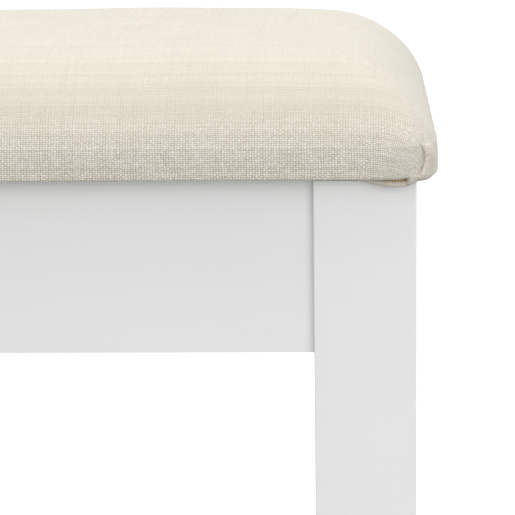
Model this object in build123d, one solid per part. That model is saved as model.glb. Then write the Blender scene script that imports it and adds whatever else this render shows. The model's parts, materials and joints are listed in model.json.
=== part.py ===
"""Upholstered piano bench: a padded lid hinged over a shallow music compartment on four square legs.

Millimetres. The origin is the centre of the footprint on the floor, +X runs along the bench, -Y is the
front and +Z is up. Everything that repeats at the corners is drawn once, at the front right, and mirrored.
"""

import os
from math import sqrt

from build123d import *

# ---- driving dimensions: whole bench ----
bench_length = 560.0
bench_depth = 330.0
bench_height = 490.0
pad_overhang = 11.0  # the pad beyond the outer faces of the legs, all round

# ---- driving dimensions: frame ----
leg_width = 50.0
leg_edge_radius = 0.7
apron_thickness = 20.0
apron_height = 86.0
apron_setback = 4.5  # apron's outer face behind the legs' outer faces
floor_thickness = 5.0
floor_height = 6.0  # floor panel's underside above the aprons' bottom edge
groove_depth = 6.0
groove_clearance = 0.1
floor_engagement = 5.5
leg_notch_clearance = 0.4

# ---- driving dimensions: corner brackets, bolts and feet ----
bracket_sheet = 2.0
bracket_run = 55.0  # along each apron from the corner of the compartment to the diagonal plate
bracket_flange = 20.0
bracket_height = 52.0
bracket_lift = 6.0  # above the floor panel
bracket_screw_shares = (0.25, 0.75)  # of the bracket's height
leg_flat_sum = 90.0  # the 45 degree flat on the leg's inner edge: sum of its distances from both outer faces
leg_flat_margin = 4.0
bolt_radius = 4.0
bolt_in_leg = 38.0
bolt_past_nut = 5.0
washer_radius = 9.0
washer_thickness = 1.6
nut_height = 9.0
nut_base_radius = 7.0
nut_top_radius = 5.5
wing_thickness = 3.0
wing_edge = 1.2
wing_outline = [(4.0, 1.5), (8.0, 3.0), (17.0, 10.0), (18.0, 14.0), (15.5, 16.5), (11.0, 15.0), (4.0, 9.0)]
glide_radius = 14.0
glide_height = 5.0
glide_edge = 1.2
nail_radius = 1.3
nail_length = 17.0
nail_head_radius = 3.2
nail_head_height = 1.0
nail_head_depth = 2.4  # the head's face above the floor
bumper_radius = 6.0
bumper_recess = 1.3
bumper_edge = 0.3

# ---- driving dimensions: screws ----
running_clearance = 0.05
bracket_screw_radius = 1.9
bracket_screw_length = 15.0
screw_head_radius = 3.6
screw_head_height = 2.0
pan_edge = 1.2
flat_head_radius = 3.3
hinge_screw_radius = 1.6
hinge_screw_length = 14.0
recess_span = 5.0
recess_width = 0.8
recess_depth = 0.9
past = 1.0  # how far a cut runs past the surface that it opens

# ---- driving dimensions: lid ----
pad_band = 16.0  # upright edge of the pad
shoulder_run = 56.0
shoulder_rise = 36.0
pad_crown = 9.0
pad_corner_radius = 22.0
cover_thickness = 0.8
cover_flange = 34.0  # cover folded under the board
wadding_thickness = 3.0
layer_gap = 0.1
board_thickness = 15.0
lining_thickness = 0.5
lining_inset = 12.0
lid_gap = 1.2  # lining above the frame, kept by the bumpers

# ---- driving dimensions: staples ----
staple_width = 10.0
staple_wire = 0.6
staple_leg = 7.0
staple_spacing = 42.0
lining_staple_inset = 16.0
cover_staple_inset = 26.0

# ---- driving dimensions: hinges ----
hinge_position = 150.0  # either side of the middle
hinge_length = 50.0
hinge_leaf_width = 22.0
hinge_leaf_thickness = 1.8
knuckle_radius = 3.25
knuckle_count = 5
knuckle_gap = 0.3  # between neighbouring knuckles
knuckle_play = 0.3  # from the knuckles to the apron's back and to the lid
hinge_pin_radius = 1.5
pin_head_radius = 2.6
pin_head_height = 1.0
leaf_clearance = 0.2
hinge_screw_inset = 8.0  # outer screws, in from the leaf's ends
hinge_screw_shares = (0.72, 0.45, 0.72)  # of the leaf's width, staggered along it

# ---- heights and faces worked out from them ----
pad_bottom = bench_height - pad_crown - shoulder_rise - pad_band
shoulder_spring = pad_bottom + pad_band
lining_bottom = pad_bottom - lining_thickness
frame_top = lining_bottom - lid_gap
board_bottom = pad_bottom + cover_thickness + layer_gap
board_top = board_bottom + board_thickness
foam_inset = cover_thickness + wadding_thickness + 2 * layer_gap
apron_bottom = frame_top - apron_height
floor_bottom = apron_bottom + floor_height
floor_top = floor_bottom + floor_thickness
bracket_bottom = floor_top + bracket_lift
bracket_top = bracket_bottom + bracket_height
frame_half_length = bench_length / 2 - pad_overhang
frame_half_depth = bench_depth / 2 - pad_overhang
apron_inner = apron_setback + apron_thickness  # apron's inner face behind the legs' outer faces
hinge_y = frame_half_depth - apron_setback + knuckle_radius + knuckle_play
hinge_z = lining_bottom - knuckle_radius - knuckle_play

FROM_BASE = (Align.CENTER, Align.CENTER, Align.MIN)


def block(x_range, y_range, z_range):
    """A box between two limits on each axis."""
    spans = (x_range, y_range, z_range)
    size = [high - low for low, high in spans]
    middle = [(high + low) / 2 for low, high in spans]
    return Pos(*middle) * Box(*size)


def rod(start, direction, length, radius):
    """A round rod that starts at a point and runs along a direction."""
    return Plane(origin=start, z_dir=direction) * Cylinder(radius, length, align=FROM_BASE)


def at_corner(u, v):
    """The front right corner's plan coordinates: u in from the right leg face, v back from the front one."""
    return (frame_half_length - u, v - frame_half_depth)


def at_all_corners(part):
    """A front right part and its mirror images, by the name of the corner."""
    front_left = mirror(part, about=Plane.YZ)
    return {
        "front_right": part,
        "front_left": front_left,
        "rear_right": mirror(part, about=Plane.XZ),
        "rear_left": mirror(front_left, about=Plane.XZ),
    }


def group(parts):
    """Separate solids kept together in one node."""
    return Compound([solid for part in parts for solid in part.solids()])


def save(node, shape):
    export_step(shape, f"parts/{node}.step")


# ---- screws ----
def cross_recess():
    """The driver recess of a screw head, cut down from z = 0."""
    bar = Box(recess_span, recess_width, recess_depth, align=FROM_BASE)
    cross = bar + Rot(0, 0, 90) * bar
    return Pos(0, 0, -recess_depth) * cross


def pan_screw(point, direction):
    """A pan-head screw whose head sits on the point and whose shank runs along the direction."""
    head = Cylinder(screw_head_radius, screw_head_height, align=FROM_BASE)
    head = fillet(head.edges().sort_by(Axis.Z)[-1], pan_edge)
    head -= Pos(0, 0, screw_head_height) * cross_recess()
    head_plane = Plane(origin=point, z_dir=[-c for c in direction])
    return head_plane * head + rod(point, direction, bracket_screw_length, bracket_screw_radius)


def flat_screw(point, direction, grow=0.0, recess=True):
    """A countersunk screw with its head's face at the point. grow makes the hole that it goes in."""
    head = Cone(
        hinge_screw_radius + grow,
        flat_head_radius + grow,
        hinge_leaf_thickness,
        align=(Align.CENTER, Align.CENTER, Align.MAX),
    )
    if recess:
        head -= cross_recess()
    head_plane = Plane(origin=point, z_dir=[-c for c in direction])
    return head_plane * head + rod(point, direction, hinge_screw_length + grow, hinge_screw_radius + grow)


# ---- legs and feet ----
def bolt_point(distance):
    """A point on the corner bolt's line, at a distance in from the leg's outer corner."""
    x, y = at_corner(distance / sqrt(2), distance / sqrt(2))
    return (x, y, (bracket_bottom + bracket_top) / 2)


bolt_direction = (-1, 1, 0)
leg_flat_distance = leg_flat_sum / sqrt(2)
bolt_start = leg_flat_distance - bolt_in_leg
plate_distance = (2 * apron_inner + bracket_run) / sqrt(2)
washer_distance = plate_distance + bracket_sheet
nut_distance = washer_distance + washer_thickness
bolt_end = nut_distance + nut_height + bolt_past_nut
leg_middle = at_corner(leg_width / 2, leg_width / 2)


def build_leg():
    """A square post with a bolt flat on its inner edge, a bumper seat on top and a nail hole below."""
    x_outer, y_outer = at_corner(0, 0)
    x_inner, y_inner = at_corner(leg_width, leg_width)
    leg = block((x_inner, x_outer), (y_outer, y_inner), (glide_height, frame_top))
    leg = fillet(leg.edges().filter_by(Axis.Z), leg_edge_radius)
    beyond = leg_width + past
    across = leg_flat_sum - beyond
    flat = Polyline(
        at_corner(across, beyond), at_corner(beyond, beyond), at_corner(beyond, across), close=True
    )
    flat_height = bracket_height + 2 * leg_flat_margin
    leg -= Pos(0, 0, bracket_bottom - leg_flat_margin) * extrude(make_face(flat), flat_height, dir=(0, 0, 1))
    leg -= rod(bolt_point(bolt_start), bolt_direction, bolt_in_leg + past, bolt_radius + running_clearance)
    bumper_seat = (*leg_middle, frame_top - bumper_recess)
    leg -= rod(bumper_seat, (0, 0, 1), bumper_recess + past, bumper_radius + layer_gap)
    nail_hole = nail_head_depth + nail_length + past
    leg -= rod((*leg_middle, 0), (0, 0, 1), nail_hole, nail_radius + running_clearance)
    return leg


def build_foot_glide():
    """A round plastic glide with a sunk seat for the nail's head."""
    glide = Cylinder(glide_radius, glide_height, align=FROM_BASE)
    glide = fillet(glide.edges().sort_by(Axis.Z)[0], glide_edge)
    glide -= Cylinder(nail_radius + running_clearance, glide_height, align=FROM_BASE)
    glide -= Cylinder(
        nail_head_radius + layer_gap, nail_head_depth + nail_head_height, align=FROM_BASE
    )
    return Pos(*leg_middle, 0) * glide


def build_glide_nail():
    """The nail that holds a glide to the end of its leg."""
    head = Cylinder(nail_head_radius, nail_head_height, align=FROM_BASE)
    shank = Pos(0, 0, nail_head_height) * Cylinder(
        nail_radius, nail_length - nail_head_height, align=FROM_BASE
    )
    return Pos(*leg_middle, nail_head_depth) * (head + shank)


def build_bumper():
    """A rubber disc let into the top of a leg, which carries the closed lid."""
    height = bumper_recess + lid_gap
    bumper = Cylinder(bumper_radius, height, align=FROM_BASE)
    bumper = fillet(bumper.edges().sort_by(Axis.Z)[-1], bumper_edge)
    return Pos(*leg_middle, frame_top - bumper_recess) * bumper


# ---- corner brackets ----
bracket_reach = apron_inner + bracket_run + bracket_flange
flange_screw_inset = bracket_flange / 2
screw_heights = [bracket_bottom + bracket_height * share for share in bracket_screw_shares]


def bracket_screw_places():
    """The head point and the direction of each screw of one bracket."""
    along = bracket_reach - flange_screw_inset
    across = apron_inner + bracket_sheet
    places = []
    for height in screw_heights:
        places.append(((*at_corner(along, across), height), (0, -1, 0)))
        places.append(((*at_corner(across, along), height), (1, 0, 0)))
    return places


def build_corner_bracket():
    """A steel sheet bent to 45 degrees, with a flange on each apron and a hole for the bolt."""
    near = apron_inner
    far = apron_inner + bracket_run
    bend = bracket_sheet * (sqrt(2) - 1)
    inner = near + bracket_sheet
    outline = [
        (bracket_reach, near),
        (far, near),
        (near, far),
        (near, bracket_reach),
        (inner, bracket_reach),
        (inner, far + bend),
        (far + bend, inner),
        (bracket_reach, inner),
    ]
    face = make_face(Polyline(*[at_corner(u, v) for u, v in outline], close=True))
    bracket = Pos(0, 0, bracket_bottom) * extrude(face, bracket_height, dir=(0, 0, 1))
    bracket -= rod(
        bolt_point(plate_distance - past),
        bolt_direction,
        bracket_sheet + 2 * past,
        bolt_radius + layer_gap,
    )
    for point, direction in bracket_screw_places():
        start = [p - c * 2 * bracket_sheet for p, c in zip(point, direction)]
        bracket -= rod(start, direction, 4 * bracket_sheet, bracket_screw_radius + running_clearance)
    return bracket


def build_hanger_bolt():
    """A headless bolt, screwed into the leg at one end and carrying a wing nut at the other."""
    return rod(bolt_point(bolt_start), bolt_direction, bolt_end - bolt_start, bolt_radius)


def build_washer():
    washer = rod(bolt_point(washer_distance), bolt_direction, washer_thickness, washer_radius)
    return washer - rod(
        bolt_point(washer_distance - past),
        bolt_direction,
        washer_thickness + 2 * past,
        bolt_radius + layer_gap,
    )


def build_wing_nut():
    """A conical hub with two rounded wings."""
    wing_face = make_face(Polyline(*wing_outline, close=True))
    wing_face = fillet(wing_face.vertices().sort_by(Axis.X)[2:], wing_edge)
    wing = extrude(Plane.XZ * wing_face, wing_thickness / 2, both=True)
    hub = Cone(nut_base_radius, nut_top_radius, nut_height, align=FROM_BASE)
    nut = hub + wing + mirror(wing, about=Plane.YZ)
    nut -= Cylinder(bolt_radius + running_clearance, nut_height, align=FROM_BASE)
    seat = Plane(origin=bolt_point(nut_distance), x_dir=(0, 0, 1), z_dir=bolt_direction)
    return seat * nut


# ---- aprons and floor panel ----
def hinge_screw_places(side):
    """Head points and directions of the screws in the fixed leaf and the lid leaf of one hinge."""
    fixed, lid = [], []
    inset = hinge_length / 2 - hinge_screw_inset
    for step, share in zip((-1, 0, 1), hinge_screw_shares):
        x = side * hinge_position + step * inset
        leaf_face_y = hinge_y - knuckle_radius - knuckle_play + hinge_leaf_thickness
        leaf_face_z = lining_bottom - hinge_leaf_thickness
        fixed.append(((x, leaf_face_y, hinge_z - hinge_leaf_width * share), (0, -1, 0)))
        lid.append(((x, hinge_y - hinge_leaf_width * share, leaf_face_z), (0, 0, 1)))
    return fixed, lid


def build_aprons():
    """Four grooved rails between the legs. The rear one is cut for the hinges."""
    half_run = {"long": frame_half_length - leg_width, "short": frame_half_depth - leg_width}
    heights = (apron_bottom, frame_top)
    groove_heights = (floor_bottom - groove_clearance, floor_top + groove_clearance)
    front = block(
        (-half_run["long"], half_run["long"]),
        (apron_setback - frame_half_depth, apron_inner - frame_half_depth),
        heights,
    )
    front -= block(
        (-half_run["long"], half_run["long"]),
        (apron_inner - groove_depth - frame_half_depth, apron_inner - frame_half_depth),
        groove_heights,
    )
    right = block(
        (frame_half_length - apron_inner, frame_half_length - apron_setback),
        (-half_run["short"], half_run["short"]),
        heights,
    )
    right -= block(
        (frame_half_length - apron_inner, frame_half_length - apron_inner + groove_depth),
        (-half_run["short"], half_run["short"]),
        groove_heights,
    )
    for point, direction in bracket_screw_places():
        hole = rod(point, direction, bracket_screw_length + past, bracket_screw_radius + running_clearance)
        if direction[0]:
            right -= hole + mirror(hole, about=Plane.XZ)
        else:
            front -= hole + mirror(hole, about=Plane.YZ)
    rear = mirror(front, about=Plane.XZ)
    mortise_front = hinge_y - hinge_leaf_width - leaf_clearance
    mortise_bottom = lining_bottom - hinge_leaf_thickness - leaf_clearance
    for side in (-1, 1):
        middle = side * hinge_position
        half = hinge_length / 2 + leaf_clearance
        rear -= block(
            (middle - half, middle + half),
            (mortise_front, frame_half_depth),
            (mortise_bottom, frame_top + past),
        )
        for point, direction in hinge_screw_places(side)[0]:
            rear -= flat_screw(point, direction, grow=running_clearance, recess=False)
    return {"front": front, "rear": rear, "right": right, "left": mirror(right, about=Plane.YZ)}


def build_floor_panel():
    """The compartment's floor, held in the aprons' grooves and notched round the legs."""
    reach = apron_inner - floor_engagement
    half_length = frame_half_length - reach
    half_depth = frame_half_depth - reach
    panel = block((-half_length, half_length), (-half_depth, half_depth), (floor_bottom, floor_top))
    notch = leg_width + leg_notch_clearance
    x_in, y_in = at_corner(notch, notch)
    corner = block(
        (x_in, frame_half_length), (-frame_half_depth, y_in), (floor_bottom - past, floor_top + past)
    )
    for cut in at_all_corners(corner).values():
        panel -= cut
    return panel


# ---- hinges ----
def knuckle_spans(side, numbers):
    """Where the knuckles with the given numbers start and end along one hinge."""
    pitch = (hinge_length + knuckle_gap) / knuckle_count
    start = side * hinge_position - hinge_length / 2
    return [(start + n * pitch, start + (n + 1) * pitch - knuckle_gap) for n in numbers]


def build_leaf(side, numbers, plate, tongue, screws):
    """A hinge leaf: its plate, one tongue and one knuckle for each number, and countersunk holes."""
    leaf = plate
    for low, high in knuckle_spans(side, numbers):
        leaf += block((low, high), *tongue)
        leaf += rod((low, hinge_y, hinge_z), (1, 0, 0), high - low, knuckle_radius)
    start = side * hinge_position - hinge_length
    leaf -= rod((start, hinge_y, hinge_z), (1, 0, 0), 2 * hinge_length, hinge_pin_radius + running_clearance)
    for point, direction in screws:
        leaf -= flat_screw(point, direction, grow=running_clearance, recess=False)
    return leaf


def build_hinge(side):
    """One butt hinge: the leaf on the rear apron's back, the leaf under the lid and the pin."""
    clear = knuckle_radius + knuckle_play
    plate_x = (side * hinge_position - hinge_length / 2, side * hinge_position + hinge_length / 2)
    fixed_y = (hinge_y - clear, hinge_y - clear + hinge_leaf_thickness)
    lid_z = (lining_bottom - hinge_leaf_thickness, lining_bottom)
    fixed_screws, lid_screws = hinge_screw_places(side)
    fixed_leaf = build_leaf(
        side,
        range(0, knuckle_count, 2),
        block(plate_x, fixed_y, (hinge_z - hinge_leaf_width, hinge_z - clear)),
        (fixed_y, (hinge_z - clear, hinge_z)),
        fixed_screws,
    )
    lid_leaf = build_leaf(
        side,
        range(1, knuckle_count, 2),
        block(plate_x, (hinge_y - hinge_leaf_width, hinge_y - clear), lid_z),
        ((hinge_y - clear, hinge_y), lid_z),
        lid_screws,
    )
    pin = rod((plate_x[0], hinge_y, hinge_z), (1, 0, 0), hinge_length, hinge_pin_radius)
    pin += rod((plate_x[1], hinge_y, hinge_z), (1, 0, 0), pin_head_height, pin_head_radius)
    pin += rod((plate_x[0], hinge_y, hinge_z), (-1, 0, 0), pin_head_height, pin_head_radius)
    return fixed_leaf, lid_leaf, pin


# ---- lid ----
def pad_profile(plane, half_span, shrink):
    """The pad's section: an upright band, elliptical shoulders and a shallow crown."""
    half = half_span - shrink
    base_z = pad_bottom - pad_band  # low enough for every layer, which pad_form cuts off at its floor
    rise = shoulder_rise - shrink
    run = shoulder_run - shrink
    spring_x = half - run
    crown_z = shoulder_spring + rise
    with BuildSketch(plane) as section:
        with BuildLine():
            Line((-half, base_z), (half, base_z))
            Line((half, base_z), (half, shoulder_spring))
            EllipticalCenterArc((spring_x, shoulder_spring), run, rise, 0, arc_size=90)
            ThreePointArc((spring_x, crown_z), (0, crown_z + pad_crown), (-spring_x, crown_z))
            EllipticalCenterArc((-spring_x, shoulder_spring), run, rise, 90, arc_size=90)
            Line((-half, shoulder_spring), (-half, base_z))
        make_face()
    return section.sketch


def pad_plan(shrink):
    """The pad's plan with its rounded corners, shrunk evenly."""
    return RectangleRounded(
        bench_length - 2 * shrink, bench_depth - 2 * shrink, pad_corner_radius - shrink
    )


def pad_form(shrink, floor_z):
    """The pad's outer form, shrunk evenly and cut off at a floor: both sections and the rounded plan."""
    lengthways = extrude(pad_profile(Plane.XZ, bench_length / 2, shrink), bench_depth, both=True)
    crossways = extrude(pad_profile(Plane.YZ, bench_depth / 2, shrink), bench_length, both=True)
    column = Pos(0, 0, floor_z) * extrude(pad_plan(shrink), bench_height - floor_z)
    return column & lengthways & crossways


def inset_block(inset, z_range):
    """A plate with the pad's plan, less an inset all round."""
    half_length = bench_length / 2 - inset
    half_depth = bench_depth / 2 - inset
    return block((-half_length, half_length), (-half_depth, half_depth), z_range)


def lid_screw_holes():
    """Holes of the hinge screws through everything under the lid."""
    screws = hinge_screw_places(-1)[1] + hinge_screw_places(1)[1]
    return group([flat_screw(point, way, grow=running_clearance, recess=False) for point, way in screws])


def build_cover():
    """The fabric cover: a skin over the pad, with a flange folded under the board."""
    cover = pad_form(0, pad_bottom) - pad_form(cover_thickness, pad_bottom + cover_thickness)
    cover -= inset_block(cover_flange, (pad_bottom - past, pad_bottom + 2 * cover_thickness))
    return cover - lid_screw_holes()


def build_wadding():
    """The wadding over the foam and down the board's edges."""
    outer = pad_form(cover_thickness + layer_gap, board_bottom)
    inner = pad_form(cover_thickness + layer_gap + wadding_thickness, board_bottom - past)
    return outer - inner


def build_foam():
    return pad_form(foam_inset, board_top + layer_gap)


def build_board():
    """The plywood board under the foam, with the pad's rounded plan."""
    plan = pad_plan(foam_inset)
    return Pos(0, 0, board_bottom) * extrude(plan, board_thickness) - lid_screw_holes()


def build_lining():
    """The dark cloth stapled over the underside."""
    return inset_block(lining_inset, (lining_bottom, pad_bottom)) - lid_screw_holes()


def build_staple():
    """A staple with its crown along X, on top of the z = 0 plane it is driven up through."""
    half = staple_width / 2
    crown = block((-half, half), (-staple_wire, staple_wire), (-staple_wire, 0))
    left = block((-half, -half + staple_wire), (-staple_wire, staple_wire), (0, staple_leg))
    return crown + left + mirror(left, about=Plane.YZ)


def staple_row(inset, height):
    """Staples along all four edges of the lid's underside, leaving the hinges free."""
    staple = build_staple()
    hinge_room = hinge_length / 2 + staple_width
    staples = []
    half_length = bench_length / 2 - inset
    half_depth = bench_depth / 2 - inset
    long_count = int(2 * half_length / staple_spacing)
    short_count = int(2 * half_depth / staple_spacing)
    for number in range(1, long_count):
        x = -half_length + 2 * half_length * number / long_count
        staples.append(Pos(x, -half_depth, height) * staple)
        if abs(abs(x) - hinge_position) > hinge_room:
            staples.append(Pos(x, half_depth, height) * staple)
    for number in range(1, short_count):
        y = -half_depth + 2 * half_depth * number / short_count
        for side in (-1, 1):
            staples.append(Pos(side * half_length, y, height) * Rot(0, 0, 90) * staple)
    return group(staples)


def main():
    os.makedirs("parts", exist_ok=True)

    for corner, leg in at_all_corners(build_leg()).items():
        save(f"leg_{corner}", leg)
    for corner, bracket in at_all_corners(build_corner_bracket()).items():
        save(f"corner_bracket_{corner}", bracket)
    for side, apron in build_aprons().items():
        save(f"apron_{side}", apron)
    save("compartment_floor", build_floor_panel())

    repeated = {
        "hanger_bolts": build_hanger_bolt(),
        "bolt_washers": build_washer(),
        "wing_nuts": build_wing_nut(),
        "foot_glides": build_foot_glide(),
        "glide_nails": build_glide_nail(),
        "lid_bumpers": build_bumper(),
        "bracket_screws": group([pan_screw(*place) for place in bracket_screw_places()]),
    }
    for node, part in repeated.items():
        save(node, group(at_all_corners(part).values()))

    fixed_screws, lid_screws = [], []
    for side, name in ((-1, "left"), (1, "right")):
        fixed_leaf, lid_leaf, pin = build_hinge(side)
        save(f"hinge_{name}_frame_leaf", fixed_leaf)
        save(f"hinge_{name}_lid_leaf", lid_leaf)
        save(f"hinge_{name}_pin", pin)
        fixed, lid = hinge_screw_places(side)
        fixed_screws += [flat_screw(*place) for place in fixed]
        lid_screws += [flat_screw(*place) for place in lid]
    save("hinge_frame_screws", group(fixed_screws))
    save("hinge_lid_screws", group(lid_screws))

    save("seat_board", build_board())
    save("seat_foam", build_foam())
    save("seat_wadding", build_wadding())
    save("seat_cover", build_cover())
    save("seat_lining", build_lining())
    save("lining_staples", staple_row(lining_staple_inset, lining_bottom))
    save("cover_staples", staple_row(cover_staple_inset, pad_bottom + staple_wire))


main()
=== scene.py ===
import json
import math

import bpy
import numpy as np
from mathutils import Euler, Matrix, Vector
from mathutils.bvhtree import BVHTree


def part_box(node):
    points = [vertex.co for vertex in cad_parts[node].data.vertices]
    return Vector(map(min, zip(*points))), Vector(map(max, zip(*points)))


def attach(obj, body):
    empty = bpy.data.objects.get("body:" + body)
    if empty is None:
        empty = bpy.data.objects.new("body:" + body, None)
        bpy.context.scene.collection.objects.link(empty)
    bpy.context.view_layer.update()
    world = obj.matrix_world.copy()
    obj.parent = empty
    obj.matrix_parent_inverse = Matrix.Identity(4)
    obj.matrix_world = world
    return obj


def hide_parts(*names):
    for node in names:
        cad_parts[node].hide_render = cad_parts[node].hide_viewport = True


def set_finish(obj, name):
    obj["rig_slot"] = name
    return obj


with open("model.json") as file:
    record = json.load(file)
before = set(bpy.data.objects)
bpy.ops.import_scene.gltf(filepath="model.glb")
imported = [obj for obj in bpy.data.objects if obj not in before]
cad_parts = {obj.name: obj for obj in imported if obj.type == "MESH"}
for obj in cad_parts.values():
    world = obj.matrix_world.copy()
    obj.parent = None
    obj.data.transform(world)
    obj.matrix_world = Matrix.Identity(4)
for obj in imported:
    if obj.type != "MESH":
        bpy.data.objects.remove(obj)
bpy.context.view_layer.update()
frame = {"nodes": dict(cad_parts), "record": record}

# Piano bench with a hinged, padded linen lid on a white painted frame.
# Lengths are in metres, in the CAD frame: +X along the bench, -Y to the front, +Z up.

MM = 0.001

# ---- the pad's driving dimensions ----
BAND = 16.0 * MM  # upright edge of the pad, as deep as the board it is pulled over
RUN_X = 56.7 * MM  # rounded shoulder, in from the ends
RUN_Y = 55.5 * MM  # and in from the front and rear
CROWN = 9.0 * MM  # rise of the top from the shoulder to the middle
CROWN_POWER_X = 9.0  # how flat the crown is along the bench
CROWN_POWER_Y = 3.9
SHOULDER_CUT = 0.28  # where the shoulder's ellipse stops: 0 would meet the band without a break
CORNER_POWER_TOP = 4.4  # plan corners, rounder on top
CORNER_POWER_EDGE = 5.4  # than at the band
CORNER_RADIUS = 22.0 * MM  # the pad's plan corner, as the board's
SIDE_PULL = 0.8 * MM  # the shoulder draws in between the corners
TURN = 1.6 * MM  # radius of the cover round the board's lower edge
CLOTH_THICK = 0.8 * MM
WADDING_THICK = 3.0 * MM
LAYER_GAP = 0.15 * MM
CREASE_ROOM = 1.5 * MM  # the filling stays this far inside the cover, clear of its creases

# ---- mesh spacing ----
TOP_STEP = 9.0 * MM
SHOULDER_LINES = 20
EDGE_GRADING = 0.8  # below 1 the grid lines crowd towards the edge
# rings below the pad's outline: mm down the band, degrees round its lower edge, mm in under the board
BAND_RINGS = (0.5, 1.6, 3.2, 4.8, 6.4, 8.0, 9.6, 11.2, 12.8, 14.4)
TURN_RINGS = (25.0, 60.0, 90.0)
FLANGE_RINGS = (4.0, 8.0, 14.0, 22.0, 34.0)

# ---- how the pad swells ----
SWELL_START = 2.0 * MM  # the cloth starts this far inside its form
SWELL_LIMIT = 0.5 * MM  # and ends no further from it than this
SWELL_FRAMES = 20
SWELL_PRESSURE = 4.0
SWELL_FREE = (0.5 * MM, 12.0 * MM)  # above the band: held by the board below, free on the foam above

# ---- the cover's fine shape ----
EDGE_SOFT = 0.65 * MM  # rounding where the shoulder meets the band
EDGE_SOFT_ABOVE = 1.0 * MM
EDGE_SOFT_WIDTH = 5.0 * MM
CORNER_ZONE = (18.0 * MM, 26.0 * MM)  # in from a long side, where the corner's creases run out
SHORT_CREASE_IN = 16.5 * MM  # where the gathered cloth starts, in from the end of the bench
SHORT_CREASE_SLOPE = 0.25
SHORT_CREASE_WIDTH = 1.1 * MM
SHORT_CREASE_DEPTH = 0.55 * MM
SHORT_CREASE_TOP = (3.0 * MM, 8.0 * MM)
STAPLE_PITCH = 42.0 * MM
STAPLE_PULL = 0.16 * MM
STAPLE_PULL_FOOT = 3.0 * MM  # it fades out towards the board's lower edge
STAPLE_PULL_TOP = 8.0 * MM  # and this far above the band
STAPLE_PULL_WAVE = 23.0  # per metre: some staples pull harder than others
LUMPS = 0.35 * MM  # unevenness of the filling
LUMPS_ABOVE = (2.0 * MM, 20.0 * MM)  # the band, which has none

# ---- fold over each corner: the end's cloth laid over the front's ----
FOLD_IN = 10.6 * MM  # the fold's edge, in from the end of the bench, at the board's lower edge
FOLD_LEAN = 3.9 * MM  # how far it bows outwards half-way up
FOLD_TOP = 19.0 * MM  # where it runs out into the shoulder
FOLD_BOW = 21.0 * MM  # height over which it bows out and back
FOLD_PROUD = 1.5 * MM  # its edge above the cloth beneath
FOLD_CREASE = 0.9 * MM  # depth of the crease beside it
CREASE_WIDTH = 1.0 * MM
CREASE_FOOT = (0.5 * MM, 5.0 * MM)  # the crease starts between these heights
CREASE_FADE = 2.0 * MM  # and begins to run out this far below the top of the band
FLAP_ROWS = 26
FLAP_COLUMNS = 22
FLAP_CROWDING = 1.6  # above 1 the columns crowd towards the fold
FLAP_FOOT = 0.4 * MM
FLAP_END = math.radians(8)  # where the flap runs out, round the corner from the bench's end
FLAP_SUNK = -0.3 * MM  # its edges lie this far under the cover where they run out
FLAP_EDGE = 0.8 * MM  # radius of its free edge
FLAP_FALL_ROUND = 0.15  # share of its width after which it sinks away
FLAP_FALL_UP = 0.62  # and share of its height
FLAP_SLANT = 0.25  # its threads', across for each millimetre up

# ---- tuck of cloth gathered under each corner ----
TUCK_STATIONS = 44
TUCK_SIDES = 12
TUCK_OUT = 8.4 * MM  # from the end of the bench
TUCK_IN = 42.0 * MM
TUCK_DROP = 2.5 * MM  # below the pad
TUCK_DROP_POWER = 0.8  # below 1 it hangs low over more of its length
TUCK_LEAST = 0.25 * MM  # and where it starts and ends
TUCK_LOWEST = 0.68  # share of its length
TUCK_POCKET = 0.79  # share of its length that is open
TUCK_CLOSING = (TUCK_POCKET - 0.03, TUCK_POCKET + 0.05)
TUCK_SWEEP = 6.0 * MM  # the lip's run back under the pad at its inner end
TUCK_SWEEP_POWER = 1.6
TUCK_BACK = 10.0 * MM  # its hidden back, in from the pad's edge
TUCK_ROUND_POWER = 0.9  # of its section: 1 for a quarter of a sine, less is fuller
TUCK_CLEARANCE = 0.05 * MM  # between the pocket's upper side and the pad
TUCK_SHUT = 0.6 * MM  # the lip, in from the pad's edge, where it has closed
TUCK_SHUT_TOP = 0.35 * MM  # its upper end, likewise
TUCK_SHUT_RISE = 2.6 * MM  # and that end's height on the band
TUCK_BULGE = 0.75 * MM
TUCK_SWELL = 1.6 * MM  # extra thickness half-way along
TUCK_SLANT = 0.6  # its threads', up for each millimetre back
# of each pair of tucks: share of the full drop, lip in from the pad's edge and least thickness
FRONT_TUCK = (1.0, 1.7 * MM, 0.6 * MM)
REAR_TUCK = (0.12, 3.5 * MM, 0.4 * MM)  # flatter, clear of the legs when the lid opens

# ---- weave ----
WARP_PITCH = 1.32 * MM
WEFT_PITCH = 0.98 * MM
SHEAR = 0.6  # past a corner's diagonal the threads slant, as far as a weave shears
LEAN = 0.75  # beside a fold they lean, sideways for each millimetre down
LEAN_RISE = 8.0 * MM  # from this far above the band
LEAN_WIDTH = 20.0 * MM
THREAD_WANDER = 1.1 * MM  # threads stray, slowly
THREAD_JITTER = 0.5 * MM  # and quickly
WANDER_SCALE, JITTER_SCALE = 90.0, 420.0
PATCH_SCALE = 28.0  # soft patches of tone over many threads
FIBRE_SCALE = 1500.0
SLUB_RUN = 0.09  # how slowly a thread changes along its run: less is slower
SLUB_NOISE = (0.35, 0.7)  # the noise's usual range
WARP_FAT = (0.55, 0.2)  # powers of a thread's hump, less is fatter: at its thinnest and at its fattest
WEFT_FAT = (1.8, 0.6)
GAP_COLUMN = (0.45, 1.15)  # how far threads part, at least and at most
GAP_ROW = (0.6, 1.2)
TONE_SHARES = (0.1, 0.45, 0.6)  # of the column, the row and the patches
WEAVE_SHADE = 0.876
WEAVE_GAP_SHADE = (-0.27, 0.25)  # painted shade between the threads, lighter on them
SHADE_WARMTH = (1.12, 1.45)  # painted warm shade: the darker the weave's painted shade, the less green and blue, as light bounced between threads
WEAVE_DEPTH = 0.22 * MM
WEAVE_RELIEF = 0.8
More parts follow.
